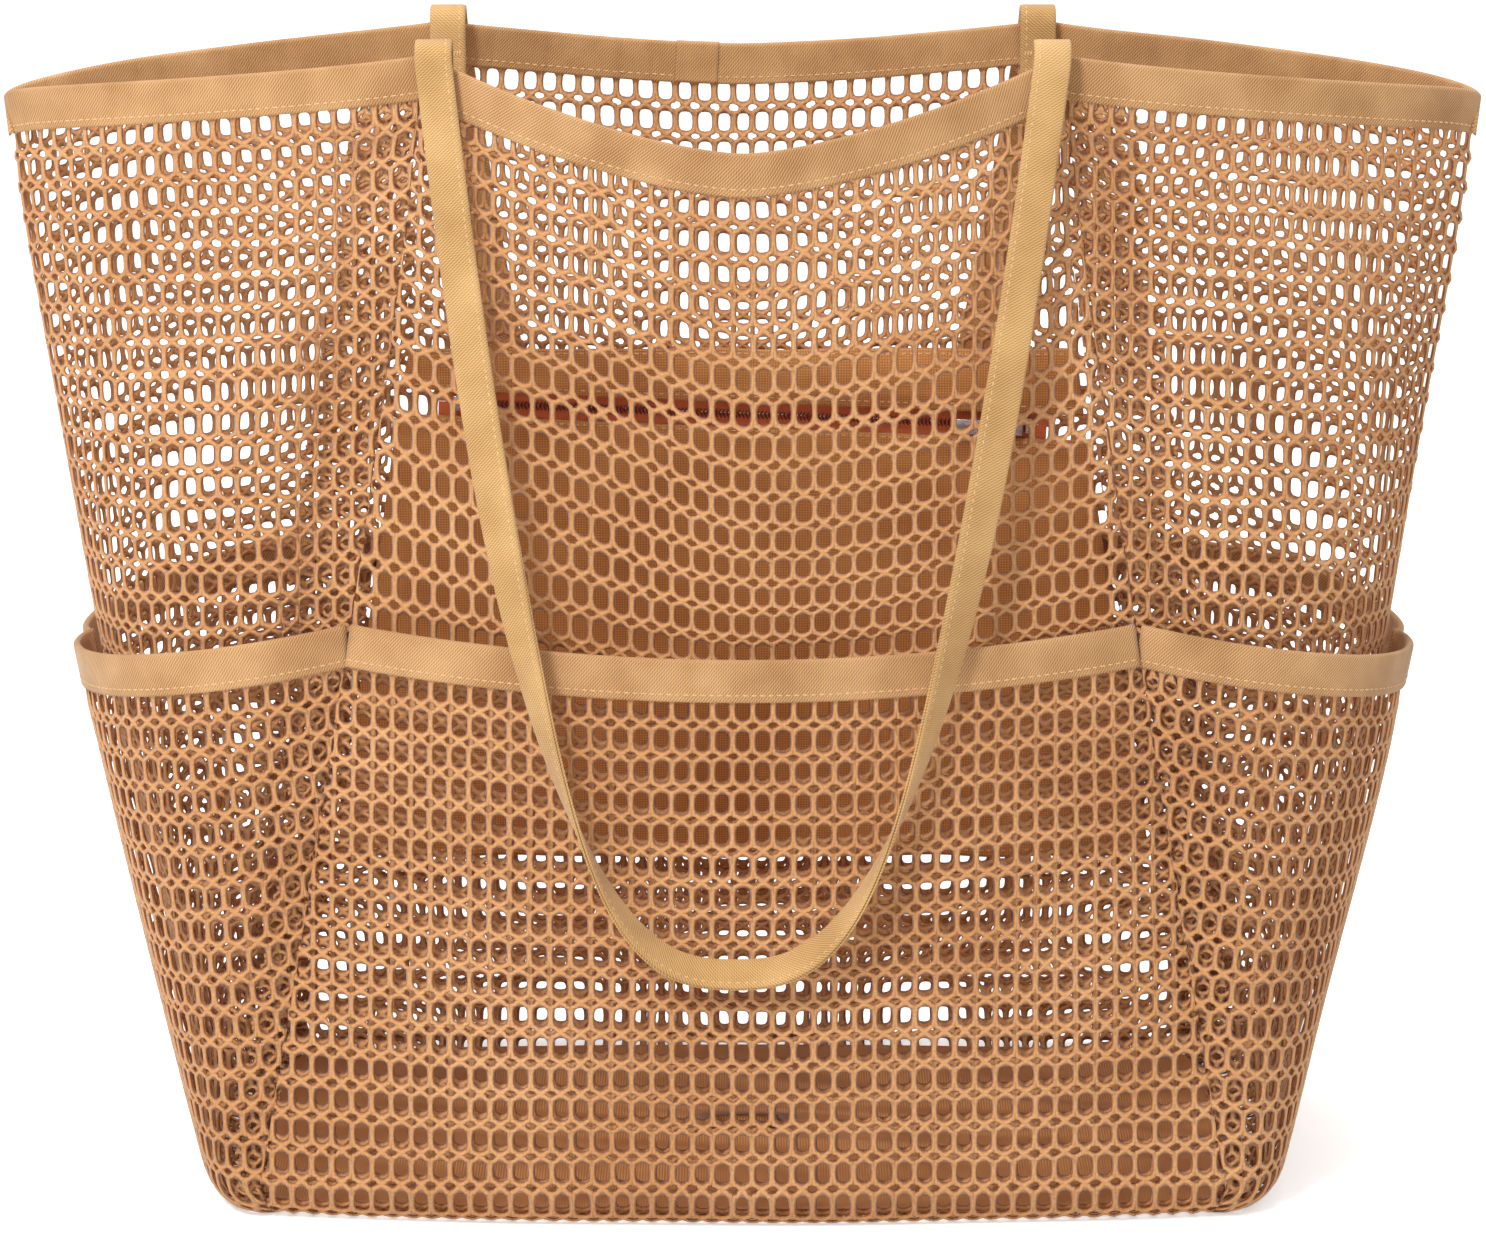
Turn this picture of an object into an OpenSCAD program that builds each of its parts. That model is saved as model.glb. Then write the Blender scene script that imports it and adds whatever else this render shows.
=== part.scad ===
// Net beach bag: a lobed soft body on a flat base, with open pockets all round,
// a zipped pocket on the inside of the back wall and two long strap handles.
// Millimetres. +X right, +Y towards the back, +Z up, origin at the middle of the base.

/* [Body] */
// Half the width of the mouth, from the middle to a side tip
rim_half_w = 286; // [262:1:300]
// Half the width of the body just above the base, at a side tip
base_half_w = 212; // [200:1:240]
// Height of the mouth at the handle feet
foot_z = 446; // [420:1:470]
// Height of the mouth at the side tips
tip_z = 424; // [410:1:440]
// Height of the front mouth edge at its middle, where it sags
front_sag_z = 412; // [400:1:440]
// Height of the back mouth edge at its middle
back_sag_z = 434; // [410:1:445]
// Radius of the turn from the walls to the base
base_r = 14; // [10:1:26]
// Thickness of the net and of the fabric, as solids
cloth_t = 2; // [1.6:0.1:3]

/* [Pleats] */
// Distance of a pleat from the middle, at the mouth
pleat_x_top = 121; // [100:1:140]
// Distance of a pleat from the middle, at the base
pleat_x_base = 190; // [170:1:198]
// Half the depth of the body at the pleats, at the mouth
pleat_y_top = 48; // [42:1:70]
// Half the depth of the body at the pleats, at the base
pleat_y_base = 108; // [90:1:115]

/* [Binding] */
// Width of the folded tape that binds each edge
tape_w = 15; // [10:1:20]
// Thickness of one leaf of the tape
tape_t = 1.2; // [0.8:0.1:2]

/* [Outer pockets] */
// Height of the pocket mouths at the middle of the front and back
mouth_z = 222; // [180:1:260]
// How far a pocket mouth stands off the wall
mouth_gap = 14; // [9:1:16]
// How far the side pockets stand off the wall at the side tips
tip_gap = 2; // [1:0.5:8]

/* [Inner pocket] */
// Height of the lower edge of the zipped pocket
inner_low_z = 90; // [60:1:110]
// Height of the upper edge of the zipped pocket
inner_top_z = 313; // [290:1:330]
// Length of the zip
zip_l = 236; // [180:1:244]
// Slope of the zip, in degrees
zip_slope = 2.4; // [0:0.1:4]

/* [Handles] */
// Width of the handle strap
strap_w = 14; // [10:1:18]
// Thickness of the handle strap
strap_t = 2.2; // [1.6:0.1:3]
// Height of the lowest point of a hanging handle
loop_z = 105; // [95:1:140]
// How far the hanging loops lean to the left at the bottom
loop_lean = 3; // [0:0.5:10]

/* [Hidden] */

NET = "burlywood";
TAPE = "tan";
CLOTH = "peru";

// Steps round the mouth: each of the four lobes takes SIDE_N of them.
SIDE_N = 20;
RING_N = 4 * SIDE_N;
FRONT = [0, SIDE_N];
RIGHT = [SIDE_N, 2 * SIDE_N];
BACK = [2 * SIDE_N, 3 * SIDE_N];
LEFT = [3 * SIDE_N, 4 * SIDE_N];

function lerp(a, b, f) = a + (b - a) * f;
function clamp(v, lo, hi) = min(hi, max(lo, v));

// How far each lobe bows out beyond its pleats, at the base and at the mouth.
BOW_BASE = 9;
FRONT_BOW_TOP = 24;
BACK_BOW_TOP = 22;
SIDE_BOW_TOP = 3;
// The side lobes bow out further at half height, and so do the tips.
SIDE_BOW_MID = 7;
TIP_BOW = 8;
// A side lobe's own bow ends at this share of the way from its pleat to its tip.
SIDE_BOW_END = 0.74;

// ---- Plan of the body at a share of its height, h = 0 at the base and 1 at the mouth ----
function pleat_x(h) = lerp(pleat_x_top, pleat_x_base, pow(1 - h, 1.15));
function pleat_y(h) = lerp(pleat_y_base, pleat_y_top, pow(h, 0.78));
function tip_x(h) = lerp(base_half_w, rim_half_w, h) + TIP_BOW * sin(180 * h);
function front_bulge(h) = lerp(BOW_BASE, FRONT_BOW_TOP, h);
function back_bulge(h) = lerp(BOW_BASE, BACK_BOW_TOP, pow(h, 3));
function side_bulge(h) = SIDE_BOW_TOP * h + SIDE_BOW_MID * sin(180 * h);

// A point of the front lobe, u = -1 at its left pleat and 1 at its right one.
function front_pt(u, h, bulge) =
    [pleat_x(h) * u, -pleat_y(h) - bulge * pow(max(0, cos(90 * u)), 0.8)];
// A point of the front half of the right lobe, u = 0 at the pleat and 1 at the tip.
function side_pt(u, h) = [
    lerp(pleat_x(h), tip_x(h), pow(sin(90 * u), lerp(0.8, 1, h))),
    -pleat_y(h) * pow(max(0, cos(90 * u)), lerp(1, 1.35, h))
    - side_bulge(h) * sin(180 * min(u / SIDE_BOW_END, 1))
];
// Point k of the ring: front lobe from left to right, right lobe, back lobe, left lobe.
function ring_pt(k, h) =
    let (q = floor(k / SIDE_N) % 4, f = (k % SIDE_N) / SIDE_N)
    q == 0 ? front_pt(2 * f - 1, h, front_bulge(h)) :
    q == 1 ? (f <= 0.5 ? side_pt(2 * f, h) : let (p = side_pt(2 - 2 * f, h)) [p.x, -p.y]) :
    q == 2 ? -front_pt(2 * f - 1, h, back_bulge(h)) :
    let (p = f <= 0.5 ? side_pt(2 * f, h) : side_pt(2 - 2 * f, h)) f <= 0.5 ? -p : [-p.x, p.y];
function unit(v) = v / norm(v);
// Outward normal of the ring in plan.
function ring_n(k, h) =
    let (d = ring_pt((k + 1) % RING_N, h) - ring_pt((k + RING_N - 1) % RING_N, h))
    unit([d.y, -d.x]);

// Height of the mouth edge at point k.
function rim_at(k) =
    let (q = floor(k / SIDE_N) % 4, f = (k % SIDE_N) / SIDE_N, u = abs(2 * f - 1))
    q == 0 ? lerp(front_sag_z, foot_z, pow(u, 1.5)) :
    q == 2 ? lerp(back_sag_z, foot_z, pow(u, 1.6)) :
    lerp(foot_z, tip_z, pow(1 - u, 0.8));
// Height of the pocket mouths at point k: higher at the pleats, and lower at the side tips.
MOUTH_RISE = 8;
MOUTH_DIP = 12;
function mouth_at(k) =
    let (q = floor(k / SIDE_N) % 4, f = (k % SIDE_N) / SIDE_N, u = abs(2 * f - 1))
    q % 2 == 0 ? mouth_z + MOUTH_RISE * u * u : lerp(mouth_z + MOUTH_RISE, mouth_z - MOUTH_DIP, sin(90 * (1 - u)));
// How far the pocket layer stands off the wall: nothing in the pleats and at the base. A side
// pocket gapes on its front and back faces, and lies close at the tip.
function gap_at(k, z) =
    let (q = floor(k / SIDE_N) % 4, f = (k % SIDE_N) / SIDE_N, v = 1 - abs(2 * f - 1),
         open = q % 2 == 0 ? mouth_gap * pow(sin(180 * f), 0.7)
                           : mouth_gap * pow(max(0, sin(180 * v)), 0.8) + tip_gap * v * v)
    open * pow(clamp(z / mouth_at(k), 0, 1), 0.6);

// A point of the wall at ring point k and height z, moved outwards by out.
function wall_pt(k, z, out) =
    let (h = clamp(z / rim_at(k), 0, 1), p = ring_pt(k, h), n = ring_n(k, h), q = p + n * out)
    [q.x, q.y, z];
// A point of the turn from the base to the wall, at angle a from straight down. The turn draws in
// towards the middle of the base, by base_r at the most.
function turn_pt(k, a, out) =
    let (h = base_r / rim_at(k), p = ring_pt(k, h), n = ring_n(k, h), i = base_r * (1 - sin(a)),
         reach = [tip_x(h), pleat_y(h) + front_bulge(h)])
    [
        p.x * (1 - i / reach.x) + n.x * out * sin(a),
        p.y * (1 - i / reach.y) + n.y * out * sin(a),
        base_r * (1 - cos(a)) - out * cos(a)
    ];

TURN_STEPS = [0, 30, 60];
// Heights of the pocket's points above the turn, up to the lower edge of its binding and its mouth.
POCKET_N = 5;
function pocket_heights(k) = [
    for (i = [0:POCKET_N]) lerp(base_r, mouth_at(k) - tape_w, i / POCKET_N),
    mouth_at(k)
];
// The wall has the pocket's heights, so the two meet face to face, and goes on up to the rim.
WALL_N = 4;
function wall_heights(k) = concat(
    pocket_heights(k),
    [for (i = [1:WALL_N]) lerp(mouth_at(k), rim_at(k) - tape_w, i / WALL_N), rim_at(k)]
);

// ---- Closed skins: each section is its outer points in order, then its inner ones back. A skin
// that lies on another one, point by point in the opposite order, takes the other diagonals. ----
module skin(sections, closed = false, lies_on = false) {
    n = len(sections);
    m = len(sections[0]);
    last = closed ? n - 1 : n - 2;
    sides = [
        for (i = [0:last], j = [0:m - 1])
        let (a = i * m + j, b = i * m + (j + 1) % m, i2 = (i + 1) % n,
             c = i2 * m + (j + 1) % m, d = i2 * m + j)
        each lies_on ? [[a, b, d], [b, c, d]] : [[a, b, c], [a, c, d]]
    ];
    caps = closed ? [] : [
        for (j = [0:m / 2 - 2])
        let (a = j, b = j + 1, c = m - 2 - j, d = m - 1 - j, e = (n - 1) * m)
        each [[a, c, b], [a, d, c], [e + a, e + b, e + c], [e + a, e + c, e + d]]
    ];
    polyhedron([for (s = sections) each s], concat(sides, caps), convexity = 10);
}
function reversed(v) = [for (i = [len(v) - 1:-1:0]) v[i]];

// ---- Body ----
function wall_section(k) = concat(
    [for (a = TURN_STEPS) turn_pt(k, a, 0)],
    [for (z = wall_heights(k)) wall_pt(k, z, 0)],
    reversed(concat(
        [for (a = TURN_STEPS) turn_pt(k, a, -cloth_t)],
        [for (z = wall_heights(k)) wall_pt(k, z, -cloth_t)]))
);
module body_panel(span) {
    skin([for (k = [span[0]:span[1]]) wall_section(k % RING_N)]);
}
module base_panel() {
    color(CLOTH) linear_extrude(cloth_t)
    polygon([for (k = [0:RING_N - 1]) let (p = turn_pt(k, 0, 0)) [p.x, p.y]]);
}
module front_body_panel() { color(NET) body_panel(FRONT); }
module back_body_panel() { color(NET) body_panel(BACK); }
module left_side_panel() { color(NET) body_panel(LEFT); }
module right_side_panel() { color(NET) body_panel(RIGHT); }

// A folded tape over an edge at height z. The outer face of the cloth in it stands off the wall by
// top at that edge, and by low at the tape's own lower edge.
function tape_section(k, z, low, top) = let (lo = z - tape_w, hi = z + tape_t) [
    wall_pt(k, lo, low + tape_t), wall_pt(k, hi, top + tape_t),
    wall_pt(k, hi, top - cloth_t - tape_t), wall_pt(k, lo, low - cloth_t - tape_t),
    wall_pt(k, lo, low - cloth_t), wall_pt(k, z, top - cloth_t), wall_pt(k, z, top), wall_pt(k, lo, low)
];
module rim_binding() {
    color(TAPE)
    skin([for (k = [0:RING_N - 1]) tape_section(k, rim_at(k), 0, 0)], closed = true, lies_on = true);
}

// ---- Outer pockets ----
function pocket_out(k, z) = gap_at(k, z) + cloth_t;
function pocket_turn_pt(k, a, out) = turn_pt(k, a, out + gap_at(k, base_r) * a / 90);
TURN_START = 30;
function pocket_section(k) = concat(
    [for (a = [TURN_START, 60]) pocket_turn_pt(k, a, cloth_t)],
    [for (z = pocket_heights(k)) wall_pt(k, z, pocket_out(k, z))],
    reversed(concat(
        [for (a = [TURN_START, 60]) pocket_turn_pt(k, a, 0)],
        [for (z = pocket_heights(k)) wall_pt(k, z, gap_at(k, z))]))
);
module pocket_panel(span) {
    skin([for (k = [span[0]:span[1]]) pocket_section(k % RING_N)], lies_on = true);
}
module pocket_binding(span) {
    // The tape stops short of the pleats, where it is caught in the seam.
    skin([
        for (k = [span[0] + 1:span[1] - 1])
        let (z = mouth_at(k)) tape_section(k % RING_N, z, pocket_out(k, z - tape_w), pocket_out(k, z))
    ]);
}
module front_pocket_panel() { color(NET) pocket_panel(FRONT); }
module back_pocket_panel() { color(NET) pocket_panel(BACK); }
module left_pocket_panel() { color(NET) pocket_panel(LEFT); }
module right_pocket_panel() { color(NET) pocket_panel(RIGHT); }
module front_pocket_binding() { color(TAPE) pocket_binding(FRONT); }
module back_pocket_binding() { color(TAPE) pocket_binding(BACK); }
module left_pocket_binding() { color(TAPE) pocket_binding(LEFT); }
module right_pocket_binding() { color(TAPE) pocket_binding(RIGHT); }

// ---- Inner pocket: a flat fabric pocket that spans the back lobe from pleat to pleat ----
INNER_SIDE_GAP = 3;
// The back wall curves a little towards this flat pocket, which stands this far off its pleats.
INNER_CLEAR = 1.2;
function back_share(z) = clamp(z / foot_z, 0, 1);
function inner_half_w(z) = pleat_x(back_share(z)) - INNER_SIDE_GAP;
function inner_y(z) = pleat_y(back_share(z)) - cloth_t - INNER_CLEAR;
inner_h = inner_top_z - inner_low_z;
inner_tilt = atan2(inner_y(inner_low_z) - inner_y(inner_top_z), inner_h);
inner_len = inner_h / cos(inner_tilt);
inner_w_top = inner_half_w(inner_top_z);
inner_w_low = inner_half_w(inner_low_z);
// The zip's middle line runs this far under the upper edge, in a slot this wide.
ZIP_DROP = 28;
SLOT_W = 11;
zip_fall = tan(zip_slope);

// The pocket's own frame: x across, z up the cloth from its upper edge, y away from the viewer.
module on_pocket() { translate([0, inner_y(inner_top_z), inner_top_z]) rotate([inner_tilt, 0, 0]) children(); }
module on_zip() { on_pocket() translate([0, 0, -ZIP_DROP]) rotate([0, zip_slope, 0]) children(); }
// The pocket's upper and lower edges turn back to the wall, which they are sewn to, at height z.
module sewn_edge(z, w) {
    ys = inner_y(z);
    translate([0, 0, z]) linear_extrude(cloth_t) polygon(concat(
        [[-w, ys - 1], [w, ys - 1]],
        [for (k = [BACK[0] + 1:BACK[1] - 1]) let (p = wall_pt(k, z + cloth_t, -cloth_t)) [clamp(p.x, -w, w), p.y]]
    ));
}
// A flat piece of cloth between y = 0 and y = -t, from an outline in x and z.
module cloth(outline, t) { rotate([90, 0, 0]) linear_extrude(t) polygon(outline); }

module inner_pocket_panel() {
    w = inner_w_top + (inner_w_low - inner_w_top) * (ZIP_DROP + SLOT_W / 2) / inner_len;
    edge = -ZIP_DROP - SLOT_W / 2;
    color(CLOTH) {
        on_pocket() cloth([
            [-w, edge + w * zip_fall], [w, edge - w * zip_fall],
            [inner_w_low, -inner_len], [-inner_w_low, -inner_len]
        ], cloth_t);
        sewn_edge(inner_low_z, inner_w_low);
    }
}
module inner_pocket_top_strip() {
    w = inner_w_top;
    edge = -ZIP_DROP + SLOT_W / 2;
    color(CLOTH) {
        on_pocket() cloth([
            [-w, 0], [w, 0], [w, edge - w * zip_fall], [-w, edge + w * zip_fall]
        ], cloth_t);
        sewn_edge(inner_top_z - cloth_t, w);
    }
}

// ---- Zip ----
TAPE_OVER = 6;
ZIP_TAPE_W = 12;
ZIP_TAPE_T = 0.7;
COIL_R = 1.1;
COIL_Z = 1.75;
STOP_L = 3;
module zip_tape(side) {
    l = zip_l + 2 * TAPE_OVER;
    lo = COIL_Z - COIL_R;
    color("coral") on_zip() translate([-l / 2, 0, side > 0 ? lo : -lo - ZIP_TAPE_W])
    cube([l, ZIP_TAPE_T, ZIP_TAPE_W]);
}
module zip_coil(side) {
    l = zip_l - 2 * STOP_L;
    color("sienna") on_zip() translate([-l / 2, -COIL_R, side * COIL_Z])
    rotate([0, 90, 0]) cylinder(h = l, r = COIL_R, $fn = 24);
}
module zip_tape_upper() { zip_tape(1); }
module zip_tape_lower() { zip_tape(-1); }
module zip_coil_upper() { zip_coil(1); }
module zip_coil_lower() { zip_coil(-1); }
module zip_end_stops() {
    color("silver") on_zip() for (s = [-1, 1])
    translate([s > 0 ? zip_l / 2 - STOP_L : -zip_l / 2, -2.4, -3.4]) cube([STOP_L, 2.4, 6.8]);
}

SLIDER_L = 10;
SLIDER_W = 8;
SLIDER_X = zip_l / 2 - STOP_L - 1 - SLIDER_L / 2;
PLATE_FRONT = -2.6;
PLATE_BACK = 1.1;
PLATE_T = 1;
PIN_Y = -6;
PIN_R = 0.8;
EYE_W = 4;
// The slider's plates stand before and behind the coils, and a thin web between the coils joins them.
module zip_slider() {
    post_w = 1;
    color("silver") on_zip() translate([SLIDER_X, 0, 0]) {
        translate([-SLIDER_L / 2, PLATE_FRONT - PLATE_T, -SLIDER_W / 2]) cube([SLIDER_L, PLATE_T, SLIDER_W]);
        translate([-SLIDER_L / 2, PLATE_BACK, -SLIDER_W / 2]) cube([SLIDER_L, PLATE_T, SLIDER_W]);
        translate([-3, PLATE_FRONT, -0.3]) cube([6, PLATE_BACK - PLATE_FRONT, 0.6]);
        for (s = [-1, 1]) translate([-1, PIN_Y - 1, s * (EYE_W / 2 + 0.7) - post_w / 2])
        cube([2, PLATE_FRONT - PLATE_T - PIN_Y + 1, post_w]);
        translate([0, PIN_Y, -EYE_W / 2 - 0.7]) cylinder(h = EYE_W + 1.4, r = PIN_R, $fn = 32);
    }
}
PULL_L = 24;
PULL_T = 1.2;
PULL_W = 6.5;
module zip_pull() {
    eye_r = 1.9;
    neck = 6.5;
    color("silver") on_zip() translate([SLIDER_X, PIN_Y, 0]) difference() {
        union() {
            translate([0, 0, -EYE_W / 2]) cylinder(h = EYE_W, r = eye_r, $fn = 32);
            translate([-neck - 2, -PULL_T / 2, -1.8]) cube([neck + 2, PULL_T, 3.6]);
            translate([-PULL_L + PULL_W / 2, -PULL_T / 2, -PULL_W / 2])
            cube([PULL_L - PULL_W / 2 - neck, PULL_T, PULL_W]);
            translate([-PULL_L + PULL_W / 2, PULL_T / 2, 0]) rotate([90, 0, 0])
            cylinder(h = PULL_T, r = PULL_W / 2, $fn = 48);
        }
        translate([0, 0, -EYE_W]) cylinder(h = 2 * EYE_W, r = PIN_R + 0.1, $fn = 32);
    }
}

// ---- Handles: each loop hangs outside from two feet and turns about the mouth edge ----
FOOT_X = 117;
hinge_y = -pleat_y_top - 2;
hinge_z = foot_z + 5.5;
// The leg hangs this far in front of the hinge line, and slopes outwards by LEG_SLOPE.
LEG_OUT = 7.8;
LEG_SLOPE = 0.244;
BEND_R = 4.5;
LEG_N = 16;
leg_top_z = hinge_z - BEND_R;
// Below the pocket's mouth the leg clears the bowed pocket, whose slope is LOW_SLOPE.
LOW_OUT = 109;
LOW_Z = 240;
LOW_SLOPE = 0.0857;
LEG_ROUNDING = 8;
function soft_min(a, b, c) = (a + b - sqrt((a - b) * (a - b) + c * c)) / 2;
// How far in front of the middle the leg hangs at height z.
function leg_out(z) = soft_min(
    -hinge_y + LEG_OUT + LEG_SLOPE * (leg_top_z - z), LOW_OUT + LOW_SLOPE * (LOW_Z - z), LEG_ROUNDING);
// One leg's middle line, side = -1 or 1, a = 0 at the lowest point and 1 at the top of the leg.
function leg_pt(side, a) =
    let (q = pow(sin(90 * a), 2), z = lerp(loop_z, leg_top_z, q))
    [side * FOOT_X * pow(q, 0.365) - loop_lean * (1 - q), -leg_out(z), z];
leg_top_y = leg_pt(1, 1).y;
function half_loop(side) = concat(
    [for (i = [0:LEG_N]) leg_pt(side, i / LEG_N)],
    [for (a = [45, 90]) [side * FOOT_X, leg_top_y + BEND_R * (1 - cos(a)), leg_top_z + BEND_R * sin(a)]],
    [[side * FOOT_X, hinge_y, hinge_z]]
);
function loop_pts() = let (l = half_loop(-1)) concat([for (i = [len(l) - 1:-1:1]) l[i]], half_loop(1));
// A flat strap section at point i. It faces forwards at the feet, and turns on the way down, so that
// at the bottom its inner face looks upwards and a little forwards.
LOOP_TWIST = 125;
TWIST_TOP = 0.7;
function strap_section(p, i) =
    let (n = len(p), t = unit(p[min(n - 1, i + 1)] - p[max(0, i - 1)]),
         at_top = p[i].z > leg_top_z - 0.01,
         f = clamp((p[i].z - loop_z) / (leg_top_z - loop_z), 0, 1),
         turn = LOOP_TWIST * pow(max(0, 1 - f / TWIST_TOP), 1.6),
         inward = unit(cross(t, [0, 1, 0])),
         face0 = [0, -cos(turn), 0] - inward * sin(turn),
         across = at_top ? [i < n / 2 ? -1 : 1, 0, 0] : unit(cross(t, face0)),
         face = unit(cross(across, t)),
         a = across * strap_w / 2, b = face * strap_t / 2)
    [p[i] + a + b, p[i] - a + b, p[i] - a - b, p[i] + a - b];
module handle() {
    p = loop_pts();
    color("wheat") skin([for (i = [0:len(p) - 1]) strap_section(p, i)]);
}
module front_handle() { handle(); }
module back_handle() { mirror([0, 1, 0]) handle(); }

// The sewn ends: a flange on the mouth edge and a tab down the inside of the binding.
TAB_LOW = 422;
FLANGE_TOP = hinge_z - strap_t / 2 - 0.4;
tab_y = -pleat_y_top + cloth_t + tape_t + 0.1;
module handle_ends() {
    color("wheat") for (s = [-1, 1]) translate([s * FOOT_X - strap_w / 2, 0, 0]) {
        translate([0, tab_y, TAB_LOW]) cube([strap_w, strap_t, FLANGE_TOP - TAB_LOW]);
        translate([0, hinge_y - 0.5, foot_z + tape_t + 0.2])
        cube([strap_w, tab_y - hinge_y + 1, FLANGE_TOP - foot_z - tape_t - 0.2]);
    }
}
module front_handle_ends() { handle_ends(); }
module back_handle_ends() { mirror([0, 1, 0]) handle_ends(); }
module handle_bar_tacks() {
    color("burlywood") for (m = [0, 1]) mirror([0, m, 0]) for (s = [-1, 1], z = [TAB_LOW + 2, TAB_LOW + 12])
    translate([s * FOOT_X - strap_w / 2 + 1.5, tab_y + strap_t, z]) cube([strap_w - 3, 0.6, 1.6]);
}

base_panel();
front_body_panel();
back_body_panel();
left_side_panel();
right_side_panel();
rim_binding();
front_pocket_panel();
back_pocket_panel();
left_pocket_panel();
right_pocket_panel();
front_pocket_binding();
back_pocket_binding();
left_pocket_binding();
right_pocket_binding();
inner_pocket_panel();
inner_pocket_top_strip();
zip_tape_upper();
zip_tape_lower();
zip_coil_upper();
zip_coil_lower();
zip_end_stops();
zip_slider();
zip_pull();
front_handle();
back_handle();
front_handle_ends();
back_handle_ends();
handle_bar_tacks();
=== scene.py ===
"""Net beach bag: a knitted net body, taped edges, a zipped inner pocket and two strap handles.

Every piece is built here in metres, in the frame's own axes: +X right, +Y back, +Z up. The body's
surface follows the same lobed plan as the CAD walls, and the net, tapes and stitches are laid on it.
"""
import math

import bmesh
import bpy
import numpy as np
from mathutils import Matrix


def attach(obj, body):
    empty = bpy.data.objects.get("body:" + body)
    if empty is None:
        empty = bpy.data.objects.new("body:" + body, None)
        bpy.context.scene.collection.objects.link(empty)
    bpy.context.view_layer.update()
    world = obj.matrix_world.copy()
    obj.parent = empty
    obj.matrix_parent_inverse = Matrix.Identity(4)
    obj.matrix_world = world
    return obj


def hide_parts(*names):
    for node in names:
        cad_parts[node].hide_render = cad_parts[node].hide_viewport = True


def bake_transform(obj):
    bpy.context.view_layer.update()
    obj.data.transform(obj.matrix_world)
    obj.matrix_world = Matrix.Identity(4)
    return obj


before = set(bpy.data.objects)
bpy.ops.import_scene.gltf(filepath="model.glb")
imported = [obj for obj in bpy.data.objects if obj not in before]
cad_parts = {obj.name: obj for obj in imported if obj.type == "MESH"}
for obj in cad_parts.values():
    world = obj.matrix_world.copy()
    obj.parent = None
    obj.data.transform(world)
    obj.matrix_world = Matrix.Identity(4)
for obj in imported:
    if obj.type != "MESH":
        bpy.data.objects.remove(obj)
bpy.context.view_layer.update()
MM = 0.001

# ---- Driving dimensions, as in the CAD source, in metres ----
RIM_HALF_W, BASE_HALF_W = 286 * MM, 212 * MM
FOOT_Z, TIP_Z = 446 * MM, 424 * MM
FRONT_SAG_Z, BACK_SAG_Z = 412 * MM, 434 * MM
BASE_R = 14 * MM
PLEAT_X_TOP, PLEAT_X_BASE = 121 * MM, 190 * MM
PLEAT_Y_TOP, PLEAT_Y_BASE = 48 * MM, 108 * MM
TAPE_W = 15 * MM
MOUTH_Z, MOUTH_GAP, TIP_GAP = 222 * MM, 14 * MM, 2 * MM
CLOTH_T = 2 * MM
INNER_LOW_Z, INNER_TOP_Z, INNER_CLEAR = 90 * MM, 313 * MM, 1.2 * MM
ZIP_L, ZIP_SLOPE, ZIP_DROP = 236 * MM, math.radians(2.4), 28 * MM
STRAP_W, STRAP_T = 14 * MM, 2.2 * MM
LOOP_Z, FOOT_X, LOOP_LEAN = 105 * MM, 117 * MM, 3 * MM

# ---- The net ----
PITCH_A, PITCH_B = 7.8 * MM, 12.4 * MM
BIG_HOLE = (2.68 * MM, 3.9 * MM)
SMALL_HOLE = (1.85 * MM, 1.25 * MM)
# The area of one face of the rounded strands, as a share of the net's, and the width of net tucked
# under beside each pleat.
NET_SOLID, TUCK_W = 0.87, 26 * MM
STRAND_R = 0.9 * MM

RNG = np.random.default_rng(7)
LOBES = ("front", "right", "back", "left")


# ---------------------------------------------------------------- surface of the body
def lerp(a, b, f):
    return a + (b - a) * f


def unit(v):
    return v / np.linalg.norm(v, axis=-1, keepdims=True)


def run_along(points):
    """The distance along a path at each of its points."""
    return np.concatenate([[0], np.cumsum(np.linalg.norm(np.diff(points, axis=0), axis=1))])


def read_along(at, run, values):
    """A path's points or directions, read at distances along it."""
    return np.stack([np.interp(at, run, values[:, k]) for k in range(3)], -1)


def pleat_x(h):
    return lerp(PLEAT_X_TOP, PLEAT_X_BASE, (1 - h) ** 1.15)


def pleat_y(h):
    return lerp(PLEAT_Y_BASE, PLEAT_Y_TOP, h**0.78)


def tip_x(h):
    return lerp(BASE_HALF_W, RIM_HALF_W, h) + 8 * MM * np.sin(np.pi * h)


def front_bulge(h):
    return lerp(9 * MM, 24 * MM, h)


def back_bulge(h):
    return lerp(9 * MM, 22 * MM, h**3)


def side_bulge(h):
    return 3 * MM * h + 7 * MM * np.sin(np.pi * h)


def plan(lobe, u, h):
    """A point of the plan outline, where u runs from -1 to 1 across a lobe."""
    if lobe in ("front", "back"):
        bulge = front_bulge(h) if lobe == "front" else back_bulge(h)
        x = pleat_x(h) * u
        y = -pleat_y(h) - bulge * np.cos(np.pi / 2 * u).clip(0) ** 0.8
    else:
        v = 1 - np.abs(u)
        s, c = np.sin(np.pi / 2 * v), np.cos(np.pi / 2 * v).clip(0)
        x = lerp(pleat_x(h), tip_x(h), s ** lerp(0.8, 1, h))
        y = -pleat_y(h) * c ** lerp(1, 1.35, h) - side_bulge(h) * np.sin(np.pi * (v / 0.74).clip(0, 1))
        y = np.where(u > 0, -y, y)
    return (-x, -y) if lobe in ("back", "left") else (x, y)


def rim_z(lobe, u):
    u = np.abs(u)
    if lobe == "front":
        return lerp(FRONT_SAG_Z, FOOT_Z, u**1.5)
    if lobe == "back":
        return lerp(BACK_SAG_Z, FOOT_Z, u**1.6)
    return lerp(FOOT_Z, TIP_Z, (1 - u) ** 0.8)


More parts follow.
